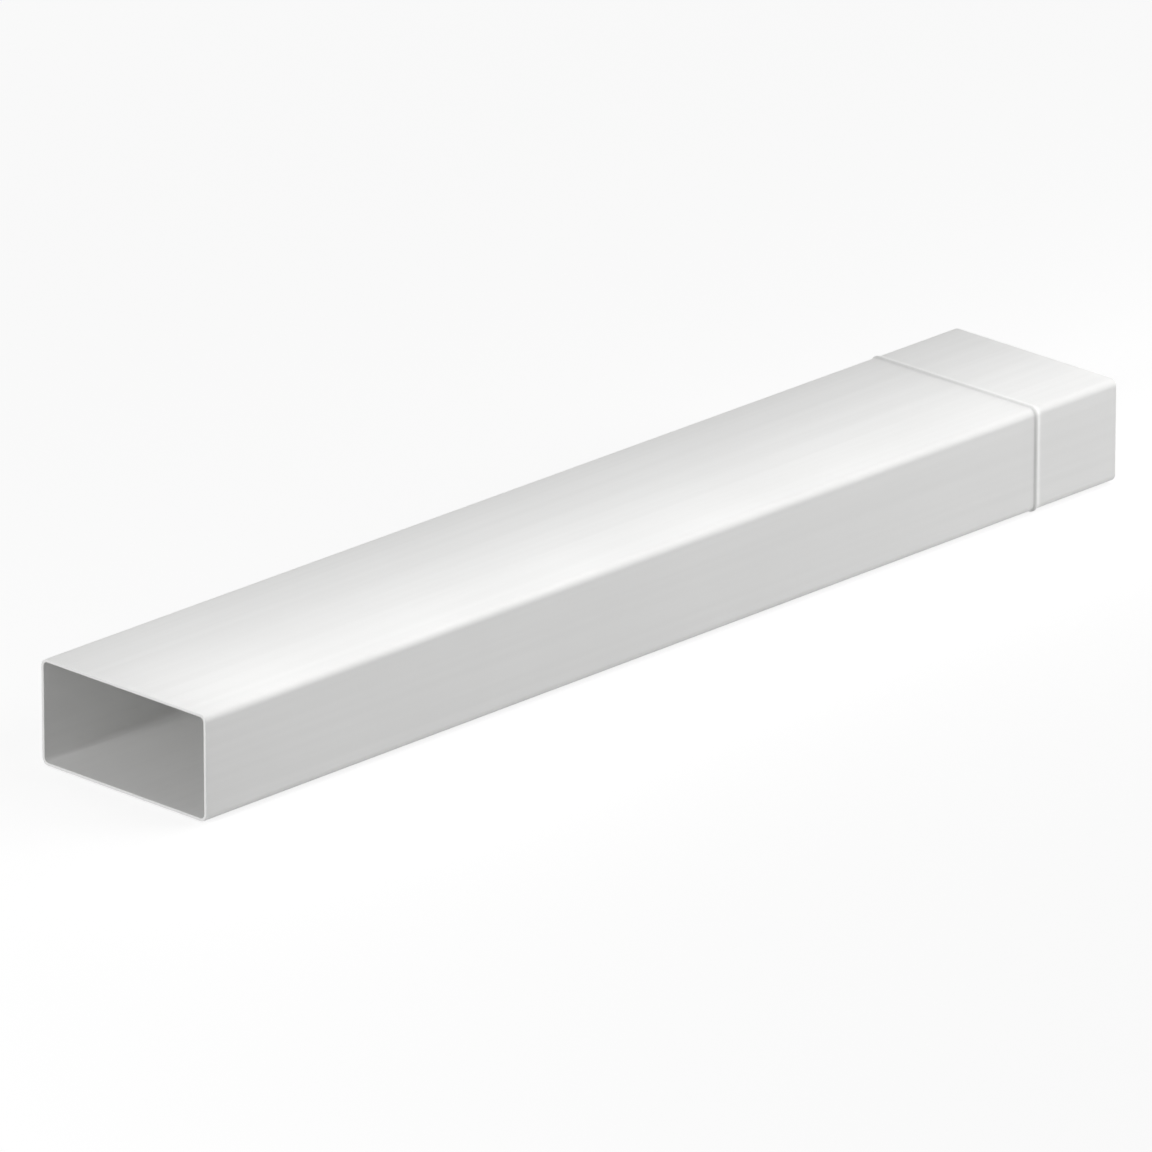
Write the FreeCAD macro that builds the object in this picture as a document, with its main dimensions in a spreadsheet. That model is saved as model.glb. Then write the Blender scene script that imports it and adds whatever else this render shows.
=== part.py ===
import FreeCAD
import Part
import Sketcher
import math
import os

# Flat channel duct for a ventilation run: a straight rectangular tube of rigid PVC, open at both ends.
# Near one end its wall is pressed outwards into a stop bead, which leaves a matching groove inside.
# X is across the duct, Y runs along it towards the spigot end, and Z is up. The duct lies on a wide face,
# and the origin is on the floor under its middle. Sizes are in millimetres.

driving_sizes = {
    "duct_width": 110.0,         # outside, across the wide faces
    "duct_height": 54.0,         # outside, across the narrow faces
    "duct_length": 635.0,
    "wall_thickness": 1.5,
    "inner_corner_radius": 2.5,  # inside the four long corners
    "spigot_length": 55.0,       # from the cut end to the foot of the bead
    "bead_height": 0.8,          # above the outer faces
    "bead_crest_radius": 0.4,    # inside the groove, at its crest
    "near_foot_radius": 1.5,     # outside, where the wall turns up into the bead's short flank
    "far_foot_radius": 6.0,      # outside, where its long flank runs out onto the spigot
    "rim_rounding": 0.3,         # on the edges of both cut ends
}

doc = FreeCAD.newDocument("FlatChannelDuct")
sheet = doc.addObject("Spreadsheet::Sheet", "Sizes")
for row, (alias, size) in enumerate(driving_sizes.items(), start=1):
    sheet.set(f"A{row}", alias)
    sheet.set(f"B{row}", str(size))
    sheet.setAlias(f"B{row}", alias)
doc.recompute()

# What follows from the driving sizes, as expressions on the sheet
outer_corner_radius = "(Sizes.inner_corner_radius + Sizes.wall_thickness)"
inner_width = "(Sizes.duct_width - 2 * Sizes.wall_thickness)"
inner_height = "(Sizes.duct_height - 2 * Sizes.wall_thickness)"
outer_face = "(Sizes.duct_height / 2)"
inner_face = "(Sizes.duct_height / 2 - Sizes.wall_thickness)"
outer_crest_radius = "(Sizes.bead_crest_radius + Sizes.wall_thickness)"
near_bends = f"({outer_crest_radius} + Sizes.near_foot_radius)"
far_bends = f"({outer_crest_radius} + Sizes.far_foot_radius)"
near_run = f"sqrt(Sizes.bead_height * (2 * {near_bends} - Sizes.bead_height))"
far_run = f"sqrt(Sizes.bead_height * (2 * {far_bends} - Sizes.bead_height))"
crest_place = f"(Sizes.duct_length / 2 - Sizes.spigot_length - {far_run})"


def value(expression):
    """Works out an expression on the sheet."""
    return float(sheet.evalExpression(expression))


def attached_sketch(body, name, role):
    """Adds an empty sketch on one of the body's own origin planes."""
    sketch = body.newObject("Sketcher::SketchObject", name)
    plane = next(item for item in body.Origin.OriginFeatures if item.Role == role)
    sketch.AttachmentSupport = (plane, "")
    sketch.MapMode = "FlatFace"
    return sketch


def join(sketch, kind, *ends):
    """Adds a constraint without a size."""
    sketch.addConstraint(Sketcher.Constraint(kind, *ends))


def measure(sketch, name, expression, kind, *ends):
    """Adds a named constraint whose size is bound to the sheet."""
    index = sketch.addConstraint(Sketcher.Constraint(kind, *ends, value(expression)))
    sketch.renameConstraint(index, name)
    sketch.setExpression(f"Constraints.{name}", expression)


def add_line(sketch, start, end):
    return sketch.addGeometry(Part.LineSegment(FreeCAD.Vector(*start, 0), FreeCAD.Vector(*end, 0)))


def add_arc(sketch, centre, radius, start_angle, end_angle):
    circle = Part.Circle(FreeCAD.Vector(*centre, 0), FreeCAD.Vector(0, 0, 1), radius)
    return sketch.addGeometry(Part.ArcOfCircle(circle, start_angle, end_angle))


def draw_section(sketch, label, width, height, corner_radius):
    """Draws a rectangle with round corners about the sketch's origin, anticlockwise from its lower side."""
    radius = value(corner_radius)
    centre_x = value(width) / 2 - radius
    centre_y = value(height) / 2 - radius
    centres = [(centre_x, -centre_y), (centre_x, centre_y), (-centre_x, centre_y), (-centre_x, -centre_y)]
    lines = []
    arcs = []
    for turn, centre in enumerate(centres):
        start_angle = (turn - 1) * math.pi / 2
        reach = (radius * math.cos(start_angle), radius * math.sin(start_angle))
        start, end = [(x + reach[0], y + reach[1]) for x, y in (centres[turn - 1], centre)]
        lines.append(add_line(sketch, start, end))
        arcs.append(add_arc(sketch, centre, radius, start_angle, start_angle + math.pi / 2))
    lower, right, upper, left = lines
    for turn, arc in enumerate(arcs):
        join(sketch, "Tangent", lines[turn], 2, arc, 1)
        join(sketch, "Tangent", arc, 2, lines[(turn + 1) % 4], 1)
    for arc in arcs[1:]:
        join(sketch, "Equal", arcs[0], arc)
    for turn, direction in enumerate(("Horizontal", "Vertical") * 2):
        join(sketch, direction, lines[turn])
    join(sketch, "Symmetric", lower, 1, upper, 1, -1, 1)
    measure(sketch, f"{label}_width", width, "DistanceX", left, 1, right, 1)
    measure(sketch, f"{label}_height", height, "DistanceY", lower, 1, upper, 1)
    measure(sketch, f"{label}_corner_radius", corner_radius, "Radius", arcs[0])


def draw_bead(sketch, face, crest_radius, near_foot_radius, far_foot_radius):
    """Draws the bead's rise above one face of the upper wall, with a root that reaches below that face."""
    root_depth = "(Sizes.wall_thickness / 2)"
    crest_centre = f"({face} + Sizes.bead_height - {crest_radius})"
    middle = value(crest_place)
    near = middle - value(near_run)
    far = middle + value(far_run)
    level = value(face)
    root = level - value(root_depth)
    crest_y = value(crest_centre)
    near_y = level + value(near_foot_radius)
    far_y = level + value(far_foot_radius)
    near_slope = math.atan2(crest_y - near_y, middle - near)
    far_slope = math.atan2(crest_y - far_y, far - middle)
    near_foot = add_arc(sketch, (near, near_y), value(near_foot_radius), -math.pi / 2, near_slope)
    crest = add_arc(sketch, (middle, crest_y), value(crest_radius), -far_slope, math.pi + near_slope)
    far_foot = add_arc(sketch, (far, far_y), value(far_foot_radius), math.pi - far_slope, 1.5 * math.pi)
    near_side = add_line(sketch, (near, level), (near, root))
    base = add_line(sketch, (near, root), (far, root))
    far_side = add_line(sketch, (far, root), (far, level))
    join(sketch, "Tangent", near_foot, 2, crest, 2)
    join(sketch, "Tangent", crest, 1, far_foot, 1)
    join(sketch, "Perpendicular", near_foot, 1, near_side, 1)
    join(sketch, "Perpendicular", far_foot, 2, far_side, 2)
    join(sketch, "Coincident", near_side, 2, base, 1)
    join(sketch, "Coincident", base, 2, far_side, 1)
    join(sketch, "Vertical", near_side)
    join(sketch, "Vertical", far_side)
    join(sketch, "Horizontal", base)
    join(sketch, "Horizontal", near_foot, 1, far_foot, 2)
    measure(sketch, "near_foot_radius", near_foot_radius, "Radius", near_foot)
    measure(sketch, "far_foot_radius", far_foot_radius, "Radius", far_foot)
    measure(sketch, "crest_radius", crest_radius, "Radius", crest)
    measure(sketch, "crest_place", crest_place, "DistanceX", -1, 1, crest, 3)
    measure(sketch, "crest_centre", crest_centre, "DistanceY", -1, 1, crest, 3)
    measure(sketch, "face", face, "DistanceY", -1, 1, near_foot, 1)
    measure(sketch, "root_depth", root_depth, "DistanceY", base, 1, near_foot, 1)


def sweep_bead(body, kind, name, profile, path):
    """Carries a bead profile all round the duct."""
    sweep = body.newObject(kind, name)
    sweep.Profile = profile
    sweep.Spine = (path, [])
    doc.recompute()
    return sweep


# The tube, pressed through its die and cut to length
duct = doc.addObject("PartDesign::Body", "flat_channel_duct")
duct.Label = "flat_channel_duct"
section = attached_sketch(duct, "Section", "XZ_Plane")
draw_section(section, "outer", "Sizes.duct_width", "Sizes.duct_height", outer_corner_radius)
draw_section(section, "inner", inner_width, inner_height, "Sizes.inner_corner_radius")
tube = duct.newObject("PartDesign::Pad", "Tube")
tube.Profile = section
tube.SideType = "Symmetric"
tube.setExpression("Length", "Sizes.duct_length")
doc.recompute()

# The stop bead: a ridge outside and a groove of the same shape inside, so that the wall keeps its thickness
around = attached_sketch(duct, "AroundTheDuct", "XZ_Plane")
around.setExpression("AttachmentOffset.Base.z", f"-{crest_place}")
draw_section(around, "path", "Sizes.duct_width", "Sizes.duct_height", outer_corner_radius)
ridge_profile = attached_sketch(duct, "RidgeProfile", "YZ_Plane")
draw_bead(ridge_profile, outer_face, outer_crest_radius, "Sizes.near_foot_radius", "Sizes.far_foot_radius")
groove_profile = attached_sketch(duct, "GrooveProfile", "YZ_Plane")
draw_bead(groove_profile, inner_face, "Sizes.bead_crest_radius",
          "(Sizes.near_foot_radius + Sizes.wall_thickness)", "(Sizes.far_foot_radius + Sizes.wall_thickness)")
doc.recompute()
ridge = sweep_bead(duct, "PartDesign::AdditivePipe", "BeadRidge", ridge_profile, around)
groove = sweep_bead(duct, "PartDesign::SubtractivePipe", "BeadGroove", groove_profile, around)
if not tube.Shape.Volume < groove.Shape.Volume < ridge.Shape.Volume:
    raise RuntimeError("the bead's ridge or its groove missed the wall")

# Both cut ends have their edges broken
flat = 1e-6
cut_ends = [f"Face{i}" for i, face in enumerate(groove.Shape.Faces, start=1) if face.BoundBox.YLength < flat]
rims = duct.newObject("PartDesign::Fillet", "Rims")
rims.Base = (groove, cut_ends)
rims.setExpression("Radius", "Sizes.rim_rounding")

# The bead is the lowest part of the duct, so the section's middle is that much higher
duct.setExpression("Placement.Base.z", f"{outer_face} + Sizes.bead_height")
doc.recompute()

failed = [item.Name for item in doc.Objects if "Invalid" in item.State or "Error" in item.State]
if failed:
    raise RuntimeError(f"these failed to build: {failed}")
if duct.Shape.isNull() or not duct.Shape.isValid() or len(duct.Shape.Solids) != 1:
    raise RuntimeError(f"{duct.Label} isn't one sound solid")

os.makedirs("parts", exist_ok=True)
duct.Shape.exportStep(f"parts/{duct.Label}.step")
box = duct.Shape.optimalBoundingBox(False, False)
print(f"{duct.Label}: {box.XLength:.2f} x {box.YLength:.2f} x {box.ZLength:.2f} mm, lowest {box.ZMin:.3f}")
print(f"volume {duct.Shape.Volume / 1000:.2f} cm3, bead {value(near_run) + value(far_run):.2f} mm wide")
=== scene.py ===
import math

import bmesh
import bpy
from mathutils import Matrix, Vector

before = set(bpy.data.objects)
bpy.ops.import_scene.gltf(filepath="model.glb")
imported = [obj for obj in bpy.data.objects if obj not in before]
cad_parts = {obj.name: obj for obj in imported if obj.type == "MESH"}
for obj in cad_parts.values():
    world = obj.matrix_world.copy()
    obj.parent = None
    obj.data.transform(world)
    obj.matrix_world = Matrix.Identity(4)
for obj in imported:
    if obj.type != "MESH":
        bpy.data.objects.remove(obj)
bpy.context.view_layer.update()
print("frame loaded:", ", ".join(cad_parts))

mm = 0.001
scene = bpy.context.scene


def hexToLinear(code):
    channels = [int(code[i:i + 2], 16) / 255 for i in (1, 3, 5)]
    linear = [c / 12.92 if c <= 0.04045 else ((c + 0.055) / 1.055) ** 2.4 for c in channels]
    return (*linear, 1.0)


# values holds a node's sockets, by name or number: each gets a constant, or a link from another node's output
def addNode(tree, kind, values=None, **settings):
    node = tree.nodes.new(kind)
    for name, setting in settings.items():
        setattr(node, name, setting)
    for socket, value in (values or {}).items():
        if isinstance(value, bpy.types.NodeSocket):
            tree.links.new(value, node.inputs[socket])
        else:
            node.inputs[socket].default_value = value
    return node


# Rigid PVC, pressed through a die: satin white, with faint lines along the duct where the die dragged,
# a slow drift of shade from the melt, and a duller, finely scored face where the saw cut each end
pvc = {
    "shade": "#F3F3F2",
    "draggedShade": "#EFEFEE",
    "driftShade": "#EDEDEC",
    "sawnShade": "#E8E8E7",
    "ior": 1.53,
    "glossyRoughness": 0.34,
    "draggedRoughness": 0.46,
    "sawnRoughness": 0.62,
    "dieLine": 4.0 * mm,           # across the duct, wider and deeper than real ones so that they show
    "dieLineRun": 420 * mm,        # along the duct
    "dieLineDetail": 3.0,          # finer lines within each
    "dieLineHeight": 0.06 * mm,
    "draggedFrom": 0.35,           # how strong a line is where its shade begins to show
    "draggedTo": 0.65,
    "drift": 70 * mm,
    "sawScore": 0.7 * mm,
    "sawScoreRun": 14 * mm,
    "sawScoreHeight": 0.03 * mm,
    "sawnFrom": 0.90,              # how squarely a face looks along the duct where sawing begins to show
    "sawnTo": 0.98,
}


def extrudedPvc():
    material = bpy.data.materials.new("extrudedPvc")
    material.use_nodes = True
    tree = material.node_tree
    tree.nodes.clear()
    place = addNode(tree, "ShaderNodeTexCoord").outputs["Object"]
    normal = addNode(tree, "ShaderNodeNewGeometry").outputs["Normal"]
    lengthwise = addNode(tree, "ShaderNodeSeparateXYZ", {"Vector": normal}).outputs["Y"]
    squareness = addNode(tree, "ShaderNodeMath", {0: lengthwise}, operation="ABSOLUTE").outputs[0]
    sawn = addNode(tree, "ShaderNodeMapRange", {"Value": squareness, "From Min": pvc["sawnFrom"],
                   "From Max": pvc["sawnTo"]}).outputs[0]

    across, run = 1 / pvc["dieLine"], 1 / pvc["dieLineRun"]
    dragged = addNode(tree, "ShaderNodeMapping", {"Vector": place, "Scale": (across, run, across)}).outputs[0]
    lines = addNode(tree, "ShaderNodeTexNoise", {"Vector": dragged, "Scale": 1.0,
                    "Detail": pvc["dieLineDetail"]}).outputs[0]
    drift = addNode(tree, "ShaderNodeTexNoise", {"Vector": place, "Scale": 1 / pvc["drift"]}).outputs[0]
    score, scoreRun = 1 / pvc["sawScore"], 1 / pvc["sawScoreRun"]
    scored = addNode(tree, "ShaderNodeMapping", {"Vector": place,
                     "Scale": (scoreRun, score, score)}).outputs[0]
    scores = addNode(tree, "ShaderNodeTexNoise", {"Vector": scored, "Scale": 1.0}).outputs[0]

    streaks = addNode(tree, "ShaderNodeMapRange", {"Value": lines, "From Min": pvc["draggedFrom"],
                      "From Max": pvc["draggedTo"]}).outputs[0]
    shade = addNode(tree, "ShaderNodeMix", {0: streaks, 6: hexToLinear(pvc["shade"]),
                    7: hexToLinear(pvc["draggedShade"])}, data_type="RGBA").outputs[2]
    drifted = addNode(tree, "ShaderNodeMix", {0: drift, 6: shade, 7: hexToLinear(pvc["driftShade"])},
                      data_type="RGBA").outputs[2]
    colour = addNode(tree, "ShaderNodeMix", {0: sawn, 6: drifted, 7: hexToLinear(pvc["sawnShade"])},
                     data_type="RGBA").outputs[2]
    satin = addNode(tree, "ShaderNodeMix", {0: streaks, 2: pvc["glossyRoughness"],
                    3: pvc["draggedRoughness"]}).outputs[0]
    roughness = addNode(tree, "ShaderNodeMix", {0: sawn, 2: satin, 3: pvc["sawnRoughness"]}).outputs[0]
    scoring = addNode(tree, "ShaderNodeMath", {0: scores, 1: sawn}, operation="MULTIPLY").outputs[0]
    lined = addNode(tree, "ShaderNodeBump", {"Height": lines, "Distance": pvc["dieLineHeight"]}).outputs[0]
    bumped = addNode(tree, "ShaderNodeBump", {"Height": scoring, "Distance": pvc["sawScoreHeight"],
                     "Normal": lined}).outputs[0]
    shader = addNode(tree, "ShaderNodeBsdfPrincipled", {"Base Color": colour, "Roughness": roughness,
                     "IOR": pvc["ior"], "Normal": bumped}).outputs[0]
    addNode(tree, "ShaderNodeOutputMaterial", {"Surface": shader})
    return material


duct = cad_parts["flat_channel_duct"]
duct.data.materials.clear()
duct.data.materials.append(extrudedPvc())
print("duct finished in", duct.data.materials[0].name)


# A pale paper floor. What the camera and reflections see of it glows up to white, and it keeps the shadow.
floorPaper = {
    "size": 40.0,
    "bouncedShade": "#B3B3B3",     # as it lights the duct from below
    "shadowedShade": "#898989",    # as it is seen, under the glow, so that the shadow shows
    "glow": 0.82,
}


# The light-path output that is 1 for what the camera sees, straight on or in a reflection
def seenRays(tree):
    path = addNode(tree, "ShaderNodeLightPath").outputs
    mirrored = addNode(tree, "ShaderNodeMath", {0: path["Is Glossy Ray"], 1: path["Is Transmission Ray"]},
                       operation="MAXIMUM").outputs[0]
    return addNode(tree, "ShaderNodeMath", {0: path["Is Camera Ray"], 1: mirrored},
                   operation="MAXIMUM").outputs[0]


def layFloor():
    material = bpy.data.materials.new("whitePaper")
    material.use_nodes = True
    tree = material.node_tree
    tree.nodes.clear()
    bounced = addNode(tree, "ShaderNodeBsdfDiffuse",
                      {"Color": hexToLinear(floorPaper["bouncedShade"])}).outputs[0]
    shadowed = addNode(tree, "ShaderNodeBsdfDiffuse",
                       {"Color": hexToLinear(floorPaper["shadowedShade"])}).outputs[0]
    white = addNode(tree, "ShaderNodeEmission", {"Strength": floorPaper["glow"]}).outputs[0]
    seen = addNode(tree, "ShaderNodeAddShader", {0: shadowed, 1: white}).outputs[0]
    paper = addNode(tree, "ShaderNodeMixShader", {0: seenRays(tree), 1: bounced, 2: seen}).outputs[0]
    addNode(tree, "ShaderNodeOutputMaterial", {"Surface": paper})
    sheet = bmesh.new()
    bmesh.ops.create_grid(sheet, x_segments=1, y_segments=1, size=floorPaper["size"] / 2)
    mesh = bpy.data.meshes.new("floor")
    sheet.to_mesh(mesh)
    sheet.free()
    mesh.materials.append(material)
    floor = bpy.data.objects.new("floor", mesh)
    scene.collection.objects.link(floor)


layFloor()
print("floor laid")

# Soft boxes, each with its place, the point it faces, its size and the brightness of its face. The first is
# low and almost straight ahead of the mouth, so that the inner floor is paler than the inner wall.
softBoxes = {
    "mouthBox": {"at": (-0.05, -1.67, 0.46), "faces": (0.0, -0.3, 0.02), "size": (0.35, 0.4), "glow": 30.0},
    "rightBox": {"at": (2.4, -1.0, 0.6), "faces": (0.0, 0.0, 0.03), "size": (1.5, 0.9), "glow": 0.85},
    "backRightBox": {"at": (1.7, 2.2, 0.7), "faces": (0.0, 0.0, 0.03), "size": (1.6, 0.9), "glow": 9.4},
    "backLeftBox": {"at": (-1.7, 2.2, 0.7), "faces": (0.0, 0.0, 0.03), "size": (1.6, 0.9), "glow": 1.0},
    "leftBox": {"at": (-2.4, 0.2, 0.6), "faces": (0.0, 0.0, 0.03), "size": (1.6, 0.9), "glow": 3.0},
}
# A row of small strips just above one long edge, so that the wide face fades from that edge to the other.
# Each is turned towards the plain end, so that the light grazes the bead from behind.
stripRow = {
    "first": (0.065, -0.28, 0.16),
    "step": (0.0, 0.10, 0.0),
    "count": 13,
    "turned": (-0.02, -0.13, -0.13),
    "size": (0.08, 0.10),
    "glow": 2.06,
}
# The sky lights the duct a little from all round, and what is seen of it is white
sky = {"colour": (1, 1, 1, 1), "litGlow": 0.2, "seenGlow": 1.0}


def hangSoftBox(name, at, faces, size, glow):
    lamp = bpy.data.lights.new(name, "AREA")
    lamp.shape = "RECTANGLE"
    lamp.size, lamp.size_y = size
    lamp.energy = glow * math.pi * lamp.size * lamp.size_y    # a face of that brightness gives this power
    holder = bpy.data.objects.new(name, lamp)
    holder.location = at
    holder.rotation_euler = (Vector(faces) - Vector(at)).to_track_quat("-Z", "Y").to_euler()
    holder.visible_camera = holder.visible_glossy = False    # reflections show the white room instead
    scene.collection.objects.link(holder)


def lightStudio():
    for name, box in softBoxes.items():
        hangSoftBox(name, **box)
    for number in range(stripRow["count"]):
        at = Vector(stripRow["first"]) + number * Vector(stripRow["step"])
        faces = at + Vector(stripRow["turned"])
        hangSoftBox(f"strip{number + 1}", at, faces, stripRow["size"], stripRow["glow"])
    world = bpy.data.worlds.new("studio")
    world.use_nodes = True
    tree = world.node_tree
    tree.nodes.clear()
    lit = addNode(tree, "ShaderNodeBackground", {"Color": sky["colour"],
                  "Strength": sky["litGlow"]}).outputs[0]
    white = addNode(tree, "ShaderNodeBackground", {"Color": sky["colour"],
                    "Strength": sky["seenGlow"]}).outputs[0]
    both = addNode(tree, "ShaderNodeMixShader", {0: seenRays(tree), 1: lit, 2: white}).outputs[0]
    addNode(tree, "ShaderNodeOutputWorld", {"Surface": both})
    scene.world = world


lightStudio()
print("lights hung")

# A long lens from far off, because the picture is nearly without perspective
viewpoint = {
    "azimuth": 43.9,
    "elevation": 20.83,
    "distance": 8.0,
    "lens": 517.0,                 # in millimetres, as is the sensor's width
    "sensor": 36.0,
    "aim": (-0.0041, -0.006, 0.0240),
}


def placeCamera():
    azimuth, elevation = math.radians(viewpoint["azimuth"]), math.radians(viewpoint["elevation"])
    back = Vector((math.sin(azimuth) * math.cos(elevation), -math.cos(azimuth) * math.cos(elevation),
                   math.sin(elevation)))
    lens = bpy.data.cameras.new("camera")
    lens.sensor_width = viewpoint["sensor"]
    lens.lens = viewpoint["lens"]
    camera = bpy.data.objects.new("camera", lens)
    camera.location = Vector(viewpoint["aim"]) + back * viewpoint["distance"]
    camera.rotation_euler = (-back).to_track_quat("-Z", "Y").to_euler()
    scene.collection.objects.link(camera)
    scene.camera = camera


placeCamera()
scene.view_settings.view_transform = "Standard"
print("camera placed")
